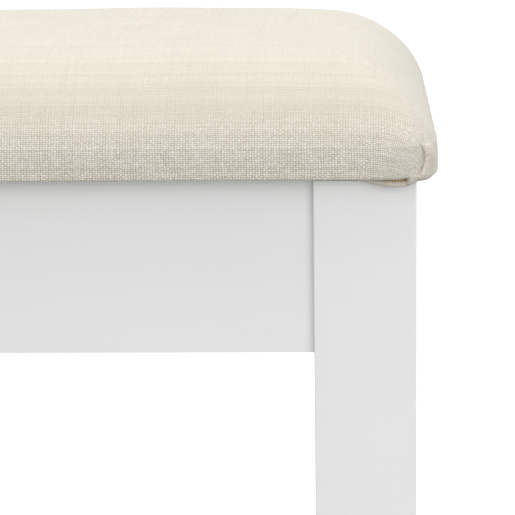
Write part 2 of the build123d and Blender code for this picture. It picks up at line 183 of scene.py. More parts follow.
SHEEN_HAZE_BELOW = 4.0 * MM  # painted sheen: the cover's weave goes from crisp at its edge to hazed on top, from this far below
SHEEN_HAZE_RISE = 20.0 * MM  # to this far above the start of the shoulder
SHEEN_HAZE_MOST = 0.8
LINEN_DARK, LINEN_LIGHT = (0.634, 0.601, 0.519), (0.699, 0.666, 0.586)
# painted shade: the warm brown of light bounced inside the shaded pocket under each tuck
POCKET_SHADE_DARK, POCKET_SHADE_LIGHT = (0.86, 0.69, 0.44), (0.93, 0.78, 0.53)
# painted shade seen through the pinholes, where the threads part
PINHOLE_SHADE = (0.24, 0.17, 0.09)
CRISP_ON_FOLDS = 0.5

# ---- studio and camera ----
FLOOR_SIZE = 60.0
SKY, GROUND = 0.82, 0.41
HORIZON_BLUR = 0.25
OVERHEAD_PLACE, OVERHEAD_SIZE, OVERHEAD_POWER = (0.0, 0.1, 2.6), 2.0, 33.0
FILL_PLACE, FILL_SIZE, FILL_POWER = (1.5, -3.0, 1.2), 2.2, 36.0
IMAGE_WIDTH = 515
SENSOR_WIDTH = 36.0
FOCAL_PX = 2320.0
CAMERA_TILT = 10.92  # degrees down
CAMERA_TURN = 2.64  # degrees towards the bench's middle
CAMERA_ROLL = -0.75
CAMERA_SHIFT = (0.0052, -0.0194)
CAMERA_RIGHT = -27.5 * MM  # from the front right leg's outer face
CAMERA_AWAY = 1104.4 * MM  # in front of its front face
CAMERA_ABOVE = 180.8 * MM  # above its top


def spread(low, high, value):
    """0 below low, 1 above high, and smooth between them."""
    share = np.clip((value - low) / (high - low), 0.0, 1.0)
    return share * share * (3.0 - 2.0 * share)


def mesh_piece(name, points, faces, body, slot):
    """A smooth-shaded mesh that rides on a body and takes its finish from a material slot."""
    mesh = bpy.data.meshes.new(name)
    mesh.from_pydata([tuple(p) for p in points], [], [tuple(f) for f in faces])
    mesh.validate()
    mesh.shade_smooth()
    piece = bpy.data.objects.new(name, mesh)
    bpy.context.scene.collection.objects.link(piece)
    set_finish(piece, slot)
    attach(piece, body)
    return piece


def coordinates(mesh):
    """A mesh's vertices as an array."""
    values = np.zeros(len(mesh.vertices) * 3)
    mesh.vertices.foreach_get("co", values)
    return values.reshape(-1, 3)


def normals(mesh):
    """A mesh's vertex normals as an array."""
    values = np.zeros(len(mesh.vertices) * 3)
    mesh.vertex_normals.foreach_get("vector", values)
    return values.reshape(-1, 3)


def bake_modifiers(piece):
    """Replaces a piece's mesh by the one its modifiers make, and removes them."""
    bpy.context.view_layer.update()
    shown = piece.evaluated_get(bpy.context.evaluated_depsgraph_get())
    made = bpy.data.meshes.new_from_object(shown)
    piece.modifiers.clear()
    old, piece.data = piece.data, made
    bpy.data.meshes.remove(old)


# ---------------------------------------------------------------- the pad's form
cover_low, cover_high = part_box("seat_cover")
board_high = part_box("seat_board")[1]
half_x, half_y = cover_high.x, cover_high.y
pad_bottom = cover_low.z
spring = pad_bottom + BAND
shoulder_rise = cover_high.z - CROWN - spring


def grid_lines(half, run):
    """Plan positions of the grid lines across one direction, closest at the edge."""
    flat = half - run
    middle = np.linspace(-flat, flat, round(2 * flat / TOP_STEP) + 1)
    angle = (np.arange(1, SHOULDER_LINES + 1) / SHOULDER_LINES) ** EDGE_GRADING * math.pi / 2
    outer = flat + run * np.sin(angle)
    return np.concatenate([-outer[::-1], middle, outer])


def pad_top(x, y):
    """Points of the pad's top and shoulder over a square plan grid whose corners get rounded."""
    share_x = np.clip((np.abs(x) - half_x + RUN_X) / RUN_X, 0, 1)
    share_y = np.clip((np.abs(y) - half_y + RUN_Y) / RUN_Y, 0, 1)
    ring = np.maximum(share_x, share_y)
    power = CORNER_POWER_TOP + (CORNER_POWER_EDGE - CORNER_POWER_TOP) * ring**4
    reach = (share_x**power + share_y**power) ** (1 / power)
    shrink = np.where(reach > 0, ring / np.maximum(reach, 1e-9), 1.0)
    plan_x = np.sign(x) * (np.minimum(np.abs(x), half_x - RUN_X) + RUN_X * share_x * shrink)
    plan_y = np.sign(y) * (np.minimum(np.abs(y), half_y - RUN_Y) + RUN_Y * share_y * shrink)
    cut = math.sqrt(1 - SHOULDER_CUT**2)
    rise = (np.sqrt(1 - (cut * ring) ** 2) - SHOULDER_CUT) / (1 - SHOULDER_CUT)
    crown_x = 1 - np.abs(plan_x / half_x) ** CROWN_POWER_X
    crown_y = 1 - np.abs(plan_y / half_y) ** CROWN_POWER_Y
    z = spring + shoulder_rise * rise + CROWN * crown_x * crown_y
    pull = SIDE_PULL * np.sin(math.pi * np.clip(ring, 0, 1)) ** 2
    plan_x -= np.sign(x) * share_x * pull * (1 - (plan_y / half_y) ** 2)
    plan_y -= np.sign(y) * share_y * pull * (1 - (plan_x / half_x) ** 2)
    return np.stack([plan_x, plan_y, z], -1)


lines_x, lines_y = grid_lines(half_x, RUN_X), grid_lines(half_y, RUN_Y)
count_x, count_y = len(lines_x), len(lines_y)
grid_x, grid_y = np.meshgrid(lines_x, lines_y)
top_grid = pad_top(grid_x, grid_y)
top = top_grid.reshape(-1, 3)


def cloth_run(axis):
    """Length of cloth along the grid lines of one direction, from the middle to each vertex."""
    steps = np.linalg.norm(np.diff(top_grid, axis=axis), axis=2)
    start = np.zeros_like(top_grid[..., 0])
    inner = (slice(None), slice(1, None)) if axis == 1 else (slice(1, None), slice(None))
    start[inner] = np.cumsum(steps, axis=axis)
    middle = start.shape[axis] // 2
    return start - np.take(start, [middle], axis=axis)


# The flat cloth's own coordinates.
row_u, column_v = cloth_run(1), cloth_run(0)
middle_row, middle_column = count_y // 2, count_x // 2
straight_u = np.broadcast_to(row_u[middle_row], row_u.shape)
straight_v = np.broadcast_to(column_v[:, [middle_column]], column_v.shape)
sheared_u = straight_u + SHEAR * (row_u - straight_u)
sheared_v = straight_v + SHEAR * (column_v - straight_v)


def at(i, j):
    """Index of the top's vertex on grid line i across and j up."""
    return j * count_x + i


# The pad's outline: grid vertices in order, and which wall each stretch belongs to.
outline = (
    [(i, 0) for i in range(count_x - 1)]
    + [(count_x - 1, j) for j in range(count_y - 1)]
    + [(i, count_y - 1) for i in range(count_x - 1, 0, -1)]
    + [(0, j) for j in range(count_y - 1, 0, -1)]
)
walls = (
    ["front"] * (count_x - 1) + ["right"] * (count_y - 1) + ["rear"] * (count_x - 1)
    + ["left"] * (count_y - 1)
)
edge = top[[at(i, j) for i, j in outline]]

# Rings below the outline: (distance inwards, depth below the spring, cloth run).
rings = [(0.0, depth * MM, depth * MM) for depth in BAND_RINGS]
for degrees in TURN_RINGS:
    angle = math.radians(degrees)
    depth = BAND - TURN + TURN * math.sin(angle)
    rings.append((TURN * (1 - math.cos(angle)), depth, BAND - TURN + TURN * angle))
for reach in FLANGE_RINGS:
    rings.append((reach * MM, BAND, BAND + reach * MM))


def wall_points(inwards, depth):
    """The outline brought inwards and down."""
    ring = edge.copy()
    ring[:, 0] *= 1 - inwards / half_x
    ring[:, 1] *= 1 - inwards / half_y
    ring[:, 2] = spring - depth
    return ring


def cloth_place(i, j, wall, run=0.0):
    """Where a grid vertex lies on the flat cloth, seen from one wall's side; below it, run further out."""
    x, y, z = top_grid[j, i]
    below = max(0.0, spring + LEAN_RISE - z) + run
    if wall in ("front", "rear"):
        lean = math.copysign(LEAN * (1 - spread(FOLD_IN, FOLD_IN + LEAN_WIDTH, half_x - abs(x))), x)
        return row_u[j, i] + lean * below, sheared_v[j, i] + (run if wall == "rear" else -run)
    return sheared_u[j, i] + (run if wall == "right" else -run), column_v[j, i]


def nearest_wall(i, j):
    """The wall that a grid cell slopes towards."""
    past_x = abs(lines_x[i] + lines_x[i + 1]) / 2 - (half_x - RUN_X)
    past_y = abs(lines_y[j] + lines_y[j + 1]) / 2 - (half_y - RUN_Y)
    if max(past_y, 0) / RUN_Y >= max(past_x, 0) / RUN_X:
        return "rear" if lines_y[j] > 0 else "front"
    return "right" if lines_x[i] > 0 else "left"


top_faces = [
    (at(i, j), at(i + 1, j), at(i + 1, j + 1), at(i, j + 1))
    for j in range(count_y - 1) for i in range(count_x - 1)
]
top_cloth = [
    [
        cloth_place(m, n, nearest_wall(i, j))
        for m, n in ((i, j), (i + 1, j), (i + 1, j + 1), (i, j + 1))
    ]
    for j in range(count_y - 1) for i in range(count_x - 1)
]
wall_faces, wall_cloth = [], []
size_round = len(outline)
above = [at(*place) for place in outline]
run_above = 0.0
for level, (_, _, run_below) in enumerate(rings):
    first = len(top) + level * size_round
    below = list(range(first, first + size_round))
    for k in range(size_round):
        n = (k + 1) % size_round
        wall_faces.append((above[n], above[k], below[k], below[n]))
        wall_cloth.append([
            cloth_place(*outline[m], walls[k], run)
            for m, run in ((n, run_above), (k, run_above), (k, run_below), (n, run_below))
        ])
    above, run_above = below, run_below

pad_points = np.concatenate([top] + [wall_points(inwards, depth) for inwards, depth, _ in rings])
cover = mesh_piece("seat_cover_linen", pad_points, top_faces + wall_faces, "lid", "linen")
cloth_map = cover.data.uv_layers.new(name="cloth")
cloth_map.data.foreach_set("uv", np.array(top_cloth + wall_cloth).reshape(-1))


# ---------------------------------------------------------------- the pad swells under its cloth
def swell(piece, form, free):
    """Blows the cloth up from inside its form; free is 0 where the board holds it and 1 on the foam."""
    mesh = piece.data
    outward = normals(mesh)
    start = form - outward * (free * SWELL_START)[:, None]
    mesh.vertices.foreach_set("co", start.reshape(-1))
    held = piece.vertex_groups.new(name="held")
    for index, share in enumerate(free):
        held.add([index], float(1 - share), "REPLACE")
    cloth = piece.modifiers.new("swell", "CLOTH")
    cloth.settings.quality = 5
    cloth.settings.mass = 0.4
    cloth.settings.tension_stiffness = 12
    cloth.settings.compression_stiffness = 12
    cloth.settings.shear_stiffness = 8
    cloth.settings.bending_stiffness = 0.6
    cloth.settings.use_pressure = True
    cloth.settings.uniform_pressure_force = SWELL_PRESSURE
    cloth.settings.vertex_group_mass = held.name
    cloth.settings.effector_weights.gravity = 0
    cloth.collision_settings.use_collision = False
    cloth.point_cache.frame_end = SWELL_FRAMES
    scene = bpy.context.scene
    for frame_number in range(1, SWELL_FRAMES + 1):
        scene.frame_set(frame_number)
    shown = piece.evaluated_get(bpy.context.evaluated_depsgraph_get())
    swollen = coordinates(shown.data)
    piece.modifiers.clear()
    piece.vertex_groups.clear()
    scene.frame_set(1)
    move = swollen - form
    size = np.maximum(np.linalg.norm(move, axis=1), 1e-9)
    move *= (np.tanh(size / SWELL_LIMIT) * SWELL_LIMIT / size * free)[:, None]
    mesh.vertices.foreach_set("co", (form + move).reshape(-1))
    mesh.update()
    return form + move


free = spread(*(spring + rise for rise in SWELL_FREE), pad_points[:, 2])
pad_form = swell(cover, pad_points, free)

# ---------------------------------------------------------------- what is inside the cover
wall_count = sum(1 for inwards, depth, _ in rings if depth < BAND - 0.5 * TURN)
skin = normals(cover.data)
shell_size = len(top) + wall_count * size_round
shell_faces = top_faces + wall_faces[: wall_count * size_round]


def inner_form(inset, floor):
    """The pad's form brought in by inset and cut off flat at a floor height."""
    points = pad_form[:shell_size] - skin[:shell_size] * inset
    points[:, 2] = np.maximum(points[:, 2], floor)
    return points


wadding_out = inner_form(CLOTH_THICK + CREASE_ROOM, pad_bottom + CLOTH_THICK + LAYER_GAP)
wadding = mesh_piece("seat_wadding_layer", wadding_out, shell_faces, "lid", "wadding")
layer = wadding.modifiers.new("thick", "SOLIDIFY")
layer.thickness, layer.offset = WADDING_THICK - CREASE_ROOM, -1
bake_modifiers(wadding)
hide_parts("seat_wadding")

foam_floor = board_high.z + LAYER_GAP
foam_inset = CLOTH_THICK + WADDING_THICK + 2 * LAYER_GAP
foam_rings = sum(1 for inwards, depth, _ in rings if inwards == 0 and spring - depth > foam_floor)
foam_size = len(top) + foam_rings * size_round
foam_wall = foam_rings * size_round
foam_points = inner_form(foam_inset, foam_floor)[:foam_size]
foam_last = (
    list(range(foam_size - size_round, foam_size)) if foam_rings
    else [at(i, j) for i, j in outline]
)
foam = mesh_piece(
    "seat_foam_block", foam_points, top_faces + wall_faces[:foam_wall] + [foam_last[::-1]], "lid",
    "seat_foam",
)
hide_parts("seat_foam")

# ---------------------------------------------------------------- the cover's fine shape
subdivide = cover.modifiers.new("fine", "SUBSURF")
subdivide.levels = subdivide.render_levels = 1
bake_modifiers(cover)


def corner_frame(points):
    """For each point: run in from the nearer end of the bench and from the nearer long side."""
    return half_x - np.abs(points[:, 0]), half_y - np.abs(points[:, 1])


def fold_line(height):
    """How far in from the end of the bench the fold's edge runs, at a height above the pad's bottom."""
    return FOLD_IN - FOLD_LEAN * np.sin(math.pi * np.clip(height / FOLD_BOW, 0, 1))


def bump(distance, width):
    """1 on a line and 0 away from it, in a bell."""
    return np.exp(-((distance / width) ** 2))


def dress(points, outward):
    """Adds the creases at the corners, the pull of the staples and a slight unevenness."""
    from_end, from_side = corner_frame(points)
    height = points[:, 2] - pad_bottom
    at_corner = 1 - spread(*CORNER_ZONE, from_side)
    crease = FOLD_CREASE * bump(from_end - fold_line(height) - CREASE_WIDTH / 2, CREASE_WIDTH)
    move = -crease * at_corner * spread(*CREASE_FOOT, height)
    move *= 1 - spread(BAND - CREASE_FADE, FOLD_TOP, height)
    # a short crease where the gathered cloth starts
    short = bump(from_end - SHORT_CREASE_IN + SHORT_CREASE_SLOPE * height, SHORT_CREASE_WIDTH)
    move -= SHORT_CREASE_DEPTH * short * (1 - spread(*SHORT_CREASE_TOP, height)) * at_corner
    # the band's pull between staples
    x, y = points[:, 0], points[:, 1]
    around = x + y
    band = spread(0, STAPLE_PULL_FOOT, height) * (1 - spread(BAND, BAND + STAPLE_PULL_TOP, height))
    pull = np.sin(around * 2 * math.pi / STAPLE_PITCH) * np.sin(around * STAPLE_PULL_WAVE + 1.0)
    move += band * STAPLE_PULL * pull
    # a rounding above the band, and lumps in the filling from waves too odd to repeat on the pad
    move -= EDGE_SOFT * bump(height - BAND - EDGE_SOFT_ABOVE, EDGE_SOFT_WIDTH)
    lumps = np.sin(x * 31 + 1.3) * np.sin(y * 37 + 0.4) + 0.5 * np.sin(x * 67 + y * 41 + 2.0)
    move += spread(*(BAND + rise for rise in LUMPS_ABOVE), height) * LUMPS * lumps
    return points + outward * move[:, None]


fine = dress(coordinates(cover.data), normals(cover.data))
cover.data.vertices.foreach_set("co", fine.reshape(-1))
cover.data.update()
skin_layer = cover.modifiers.new("thick", "SOLIDIFY")
skin_layer.thickness, skin_layer.offset = CLOTH_THICK, -1
bake_modifiers(cover)
cover.data.shade_smooth()
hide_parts("seat_cover")

# ---------------------------------------------------------------- folds over the corners
surface = BVHTree.FromPolygons(
    [tuple(v.co) for v in cover.data.vertices], [tuple(f.vertices) for f in cover.data.polygons]
)


def corner_piece(name, points, faces, cloth, inside_out):
    """One corner's piece of the cover, with a place on the flat cloth for each vertex."""
    if inside_out:
        faces = [face[::-1] for face in faces]
    piece = mesh_piece(name, points, faces, "lid", "linen")
    cloth_map = piece.data.uv_layers.new(name="cloth")
    for loop in piece.data.loops:
        cloth_map.data[loop.index].uv = cloth[loop.vertex_index]
    return piece


def flap(name, side_x, side_y):
    """The end's cloth laid over the corner: a raised, rounded edge that runs out into the cover."""
    centre = Vector((side_x * (half_x - CORNER_RADIUS), side_y * (half_y - CORNER_RADIUS), 0))
    outer, inner, cloth = [], [], []
    for row in range(FLAP_ROWS + 1):
        up = row / FLAP_ROWS
        height = FLAP_FOOT + (FOLD_TOP - FLAP_FOOT) * up
        start = math.acos(1 - float(fold_line(height)) / CORNER_RADIUS)
        for column in range(FLAP_COLUMNS + 1):
            share = (column / FLAP_COLUMNS) ** FLAP_CROWDING
            angle = start + (FLAP_END - start) * share
            way = Vector((side_x * math.cos(angle), side_y * math.sin(angle), 0))
            eye = centre + way * 2 * CORNER_RADIUS
            eye.z = pad_bottom + height
            hit, normal = surface.ray_cast(eye, -way)[:2]
            edge_in = share * (start - FLAP_END) * CORNER_RADIUS
            rounded = math.sqrt(max(0, 1 - (1 - min(1, edge_in / FLAP_EDGE)) ** 2))
            fade = 1 - float(spread(FLAP_FALL_ROUND, 1.0, share))
            fade *= 1 - float(spread(FLAP_FALL_UP, 1.0, up))
            proud = FLAP_SUNK + (FOLD_PROUD - FLAP_SUNK) * rounded * fade
            outer.append(hit + normal * proud)
            inner.append(hit + normal * 2 * FLAP_SUNK)
            cloth.append((edge_in + FLAP_SLANT * height, height))
    wide = FLAP_COLUMNS + 1
    count = len(outer)
    faces = []
    for row in range(FLAP_ROWS):
        for column in range(FLAP_COLUMNS):
            a = row * wide + column
            faces.append((a, a + 1, a + 1 + wide, a + wide))
            faces.append((count + a, count + a + wide, count + a + 1 + wide, count + a + 1))
    rim = (
        list(range(FLAP_COLUMNS))
        + [r * wide + FLAP_COLUMNS for r in range(FLAP_ROWS)]
        + [FLAP_ROWS * wide + c for c in range(FLAP_COLUMNS, 0, -1)]
        + [r * wide for r in range(FLAP_ROWS, 0, -1)]
    )
    faces += [(b, a, count + a, count + b) for a, b in zip(rim, rim[1:] + rim[:1])]
    return corner_piece(name, outer + inner, faces, cloth * 2, side_x * side_y > 0)


corners = [
    (f"{where_y}_{where_x}", side_x, side_y)
    for where_y, side_y in (("front", -1), ("rear", 1))
    for where_x, side_x in (("left", -1), ("right", 1))
]
flaps = [flap(f"cover_fold_{corner}", side_x, side_y) for corner, side_x, side_y in corners]

# ---------------------------------------------------------------- tucks under the corners
front_edge = edge[[wall == "front" and x >= 0 for wall, x in zip(walls, edge[:, 0])]][::-1]
front_edge_in, front_edge_back = corner_frame(front_edge)  # how far the rounded corner draws back


def tuck(name, side_x, side_y):
    """A flattened fold of cloth under one corner: an open pocket that closes into the corner's fold."""
    at_front = side_y < 0
    share, lip_in, least_thick = FRONT_TUCK if at_front else REAR_TUCK
    points = []
    for k in range(TUCK_STATIONS + 1):
        part = k / TUCK_STATIONS
        from_end = TUCK_IN + (TUCK_OUT - TUCK_IN) * part
        swing = part / TUCK_LOWEST if part < TUCK_LOWEST else (1 - part) / (1 - TUCK_LOWEST)
        hang = (0.5 - 0.5 * math.cos(math.pi * min(1, swing))) ** TUCK_DROP_POWER
        drop = TUCK_DROP * share * hang + TUCK_LEAST
        closed = float(spread(*TUCK_CLOSING, part))
        front = TUCK_SWEEP * (1 - part) ** TUCK_SWEEP_POWER + lip_in
        if at_front:
            front += (TUCK_SHUT - front) * closed
        corner_back = float(np.interp(from_end, front_edge_in, front_edge_back))
        front += corner_back
        thick = least_thick + TUCK_SWELL * math.sin(math.pi * part) * share
        for m in range(TUCK_SIDES):
            turn = m / TUCK_SIDES
            if turn <= 0.5:  # underside, from the back to the lip
                run = turn / 0.5
                depth_in = TUCK_BACK + (front - TUCK_BACK) * run
                z = -(drop * math.sin(run * math.pi / 2) ** TUCK_ROUND_POWER + thick * 0.5)
            else:  # upper side, from the lip back
                run = (turn - 0.5) / 0.5
                lower = drop * math.cos(run * math.pi / 2) ** TUCK_ROUND_POWER - thick * 0.5
                depth_in = front + (TUCK_BACK - front) * run
                z = -max(lower, TUCK_CLEARANCE)
                # where it closes, the cloth bulges over the band's lower edge and runs out under the cover
                wall, inside = min(1, run / 0.5), max(0, run - 0.5) / 0.5
                over_z = (1 - wall) * -lower + wall * TUCK_SHUT_RISE * share * (1 - inside)
                z += (over_z - z) * closed
                if at_front:
                    over_in = corner_back + TUCK_SHUT + (TUCK_SHUT_TOP - TUCK_SHUT) * wall
                    over_in += (TUCK_BACK - corner_back) * inside - TUCK_BULGE * math.sin(math.pi * wall)
                    depth_in += (over_in - depth_in) * closed
            points.append((side_x * (half_x - from_end), side_y * (half_y - depth_in), pad_bottom + z))
    faces, pocket = [], []
    for k in range(TUCK_STATIONS):
        for m in range(TUCK_SIDES):
            n = (m + 1) % TUCK_SIDES
            a, b = k * TUCK_SIDES + m, k * TUCK_SIDES + n
            faces.append((a, b, b + TUCK_SIDES, a + TUCK_SIDES))
            pocket.append(k < TUCK_STATIONS * TUCK_POCKET and m > TUCK_SIDES // 2)
    faces.append(tuple(range(TUCK_SIDES))[::-1])
    faces.append(tuple(TUCK_STATIONS * TUCK_SIDES + m for m in range(TUCK_SIDES)))
    cloth = [(x, z + TUCK_SLANT * y) for x, y, z in points]
    piece = corner_piece(name, points, faces, cloth, side_x * side_y < 0)
    for index, inside in enumerate(pocket):
        piece.data.polygons[index].material_index = int(inside)
    return piece


tucks = [tuck(f"cover_tuck_{corner}", side_x, side_y) for corner, side_x, side_y in corners]


# ---------------------------------------------------------------- materials
class Finish:
    """A procedural material, built up node by node on one Principled shader."""

    def __init__(self, name, **shader):
        self.material = bpy.data.materials.new(name)
        self.material.use_nodes = True
        self.tree = self.material.node_tree
        self.shader = self.tree.nodes["Principled BSDF"]
        for key, value in shader.items():
            self.put(self.shader.inputs[key.replace("_", " ")], value)

    def put(self, socket, value):
        if isinstance(value, bpy.types.NodeSocket):
            self.tree.links.new(value, socket)
        elif isinstance(value, tuple) and len(value) == 3 and len(socket.default_value) == 4:
            socket.default_value = (*value, 1.0)
        else:
            socket.default_value = value

    def node(self, kind, *values, **settings):
        """A shader node whose first inputs are values; a setting that isn't a property is an input."""
        made = self.tree.nodes.new("ShaderNode" + kind)
        for key, value in settings.items():
            if hasattr(made, key):
                setattr(made, key, value)
            else:
                self.put(made.inputs[key.replace("_", " ")], value)
        for socket, value in zip(made.inputs, values):
            self.put(socket, value)
        return made

    def math(self, operation, *values):
        return self.node("Math", *values, operation=operation).outputs[0]

    def place(self, scale=(1, 1, 1)):
        """Object coordinates, stretched."""
        place = self.node("TexCoord").outputs["Object"]
        return self.node("Mapping", place, Scale=scale).outputs[0]

    def noise(self, vector, scale, detail=3.0, roughness=0.5):
        made = self.node("TexNoise", vector, Scale=scale, Detail=detail, Roughness=roughness)
        return made.outputs["Fac"]

    def between(self, value, low, high, new_low=0.0, new_high=1.0):
        made = self.node("MapRange", value, low, high, new_low, new_high, clamp=True)
        return made.outputs[0]

    def blend(self, share, first, second, blend_type="MIX"):
        made = self.node("Mix", data_type="RGBA", blend_type=blend_type)
        self.put(made.inputs[0], share)
        self.put(made.inputs[6], first)
        self.put(made.inputs[7], second)
        return made.outputs[2]

    def colour(self, value):
        self.put(self.shader.inputs["Base Color"], value)

    def relief(self, height, depth, strength=1.0):
        bump = self.node("Bump", Strength=strength, Distance=depth, Height=height)
        self.put(self.shader.inputs["Normal"], bump.outputs[0])


def linen_finish(name, dark, light, crisp=1.0):
    """Plain weave: threads over and under, uneven in thickness and tone, with painted shade where they
    part.

    Crisp is 1 on cloth drawn tight, and less on a fold, where the threads close up.
    """
    f = Finish(name, Roughness=0.92, Sheen_Weight=0.3, Sheen_Roughness=0.5)
    place = f.node("UVMap", uv_map="cloth").outputs[0]
    split = f.node("SeparateXYZ", place)
    wander = f.math("SUBTRACT", f.noise(place, WANDER_SCALE, 2.0), 0.5)
    jitter = f.math("SUBTRACT", f.noise(place, JITTER_SCALE, 1.0), 0.5)
    shift = f.math(
        "ADD", f.math("MULTIPLY", wander, THREAD_WANDER), f.math("MULTIPLY", jitter, THREAD_JITTER)
    )
    across = f.math("DIVIDE", f.math("ADD", split.outputs[0], shift), WARP_PITCH)
    down = f.math("DIVIDE", f.math("SUBTRACT", split.outputs[1], shift), WEFT_PITCH)
    column, row = f.math("FLOOR", across), f.math("FLOOR", down)
    in_column, in_row = f.math("FRACT", across), f.math("FRACT", down)

    def chance(first, second, third=0.0):
        """A number from 0 to 1, the same over one thread or crossing; the last one given is a seed."""
        cell = f.node("CombineXYZ", first, second, third).outputs[0]
        return f.node("TexWhiteNoise", cell, noise_dimensions="3D").outputs["Value"]

    def fullness(index, run, seed, thin, fat):
        """Power of one thread's hump, changing slowly along its run and differently for each thread."""
        apart, slow = f.math("MULTIPLY", index, 7.31), f.math("MULTIPLY", run, SLUB_RUN)
        slub = f.noise(f.node("CombineXYZ", apart, slow, seed).outputs[0], 1.0, 2.0)
        return f.between(slub, *SLUB_NOISE, thin, fat)

    # height: threads hump over and under each other, some fatter than others
    parity = f.math("PINGPONG", f.math("ADD", column, row), 1.0)  # 0 or 1: which thread is on top
    over = f.math("SUBTRACT", f.math("MULTIPLY", parity, 2.0), 1.0)
    hump_u = f.math("SINE", f.math("MULTIPLY", in_column, math.pi))
    hump_v = f.math("SINE", f.math("MULTIPLY", in_row, math.pi))
    warp_lift = f.math("MULTIPLY_ADD", f.math("MULTIPLY", over, hump_v), 0.4, 0.6)
    weft_lift = f.math("MULTIPLY_ADD", f.math("MULTIPLY", over, hump_u), -0.4, 0.6)
    warp_width = f.math("POWER", hump_u, fullness(column, down, 3.0, *WARP_FAT))
    weft_width = f.math("POWER", hump_v, fullness(row, across, 11.0, *WEFT_FAT))
    height = f.math(
        "MAXIMUM", f.math("MULTIPLY", warp_width, warp_lift), f.math("MULTIPLY", weft_width, weft_lift)
    )
    # gaps: some columns and a few rows stand apart, and show as pinholes in painted shade where they cross
    gap_column = f.between(chance(f.math("ROUND", across), 5.0), 0.6, 1.0, *GAP_COLUMN)
    gap_row = f.between(chance(f.math("ROUND", down), 9.0), 0.3, 1.0, *GAP_ROW)
    open_u = f.math("MULTIPLY", f.math("SUBTRACT", 1.0, hump_u), gap_column)
    open_v = f.math("MULTIPLY", f.math("SUBTRACT", 1.0, hump_v), gap_row)
    pinhole = f.between(f.math("MULTIPLY", open_u, open_v), 0.2, 0.75)
    # tone of each thread, with soft patches over many
    tones = (chance(column, 21.0), chance(row, 27.0), f.noise(place, PATCH_SCALE, 3.0))
    of_column, of_row, of_patch = (f.math("MULTIPLY", *pair) for pair in zip(tones, TONE_SHARES))
    tone = f.math("ADD", f.math("ADD", of_column, of_row), of_patch)
    thread = f.blend(f.between(tone, 0.25, 0.9), dark, light)
    # painted sheen: higher up the cover its threads and gaps show less than at the edge, and its tone
    # shifts with them
    high = f.node("SeparateXYZ", f.place()).outputs[2]
    painted_sheen = f.between(high, spring - SHEEN_HAZE_BELOW, spring + SHEEN_HAZE_RISE, 0.0, SHEEN_HAZE_MOST)
    clear = f.math("MULTIPLY", f.math("SUBTRACT", 1.0, painted_sheen), crisp)
    fibre = f.between(f.noise(place, FIBRE_SCALE, 2.0), 0.3, 0.7, -0.15, 0.15)
    uneven = f.math("ADD", f.between(chance(column, row, 31.0), 0, 1, -0.08, 0.08), fibre)
    uneven = f.math("ADD", uneven, f.between(chance(row, 41.0), 0, 1, -0.05, 0.05))
    # painted shade: darker where the threads dip between each other, plus random tone
    shade_and_tone = f.math("ADD", f.between(height, 0.25, 0.8, *WEAVE_GAP_SHADE), uneven)
    shade = f.math("MULTIPLY_ADD", shade_and_tone, clear, WEAVE_SHADE)
    # painted warm shade, as light bounced between the threads
    warm_shade = [f.math("POWER", shade, power) for power in SHADE_WARMTH]
    thread = f.blend(1.0, thread, f.node("CombineXYZ", shade, *warm_shade).outputs[0], "MULTIPLY")
    pinhole = f.math("MULTIPLY", pinhole, clear)
    f.colour(f.blend(f.math("MULTIPLY", pinhole, 0.95), thread, PINHOLE_SHADE))
    f.relief(f.math("SUBTRACT", height, pinhole), WEAVE_DEPTH, WEAVE_RELIEF * crisp)
    return f.material


def paint_finish(name, stretch):
    """Satin white paint, laid off along the wood: faint brush lines, orange peel and soft wear."""
    f = Finish(name, Roughness=0.38, Coat_Weight=0.15, Coat_Roughness=0.25)
    grain = f.noise(f.place(stretch), 60.0, 4.0, 0.6)
    cloud = f.noise(f.place(), 7.0, 2.0)
    peel = f.noise(f.place(), 420.0, 2.0)
    tone = f.math("ADD", f.math("MULTIPLY", grain, 0.4), f.math("MULTIPLY", cloud, 0.6))
    f.colour(f.blend(f.between(tone, 0.3, 0.7), (0.80, 0.805, 0.805), (0.83, 0.83, 0.825)))
    f.put(f.shader.inputs["Roughness"], f.between(grain, 0.3, 0.7, 0.33, 0.46))
    relief = f.math("ADD", f.math("MULTIPLY", grain, 0.7), f.math("MULTIPLY", peel, 0.3))
    f.relief(relief, 0.00012, 0.35)
    return f.material


def plywood_finish():
    """Birch plywood: long grain on the faces with darker veneer lines on the edges."""
    f = Finish("birch_plywood", Roughness=0.62)
    warp = f.noise(f.place((1.0, 6.0, 1.0)), 2.2, 3.0)
    place = f.place((1.2, 22.0, 22.0))
    streak = f.noise(f.node("VectorMath", place, warp, operation="ADD").outputs[0], 9.0, 6.0, 0.62)
    pore = f.noise(f.place((10.0, 260.0, 260.0)), 3.0, 2.0)
    height = f.node("SeparateXYZ", f.place()).outputs[2]
    veneer = f.math("PINGPONG", f.math("DIVIDE", height, 1.5 * MM), 1.0)
    tone = f.blend(f.between(streak, 0.3, 0.7), (0.50, 0.35, 0.20), (0.70, 0.55, 0.37))
    tone = f.blend(f.between(pore, 0.55, 0.8, 0.0, 0.35), tone, (0.34, 0.22, 0.12))
    facing = f.node("NewGeometry").outputs["Normal"]
    up = f.math("ABSOLUTE", f.node("SeparateXYZ", facing).outputs[2])
    edge = f.math("MULTIPLY", f.between(up, 0.3, 0.7, 1.0, 0.0), f.between(veneer, 0.4, 0.6, 0.0, 0.45))
    f.colour(f.blend(edge, tone, (0.30, 0.19, 0.10)))
    f.relief(f.math("ADD", streak, pore), 0.0001, 0.4)
    return f.material


def metal_finish(name, light, dark, roughness, stretch, metallic=1.0):
    """Plated or drawn metal: fine lines, and a duller, darker bloom in patches."""
    f = Finish(name, Metallic=metallic, Roughness=roughness)
    line = f.noise(f.place(stretch), 300.0, 3.0)
    bloom = f.noise(f.place(), 55.0, 4.0, 0.6)
    f.colour(f.blend(f.between(bloom, 0.42, 0.72), light, dark))
    duller = f.between(bloom, 0.4, 0.7, roughness, roughness + 0.18)
    f.put(f.shader.inputs["Roughness"], f.math("ADD", f.between(line, 0.3, 0.7, -0.06, 0.08), duller))
    f.relief(line, 0.00003, 0.5)
    return f.material


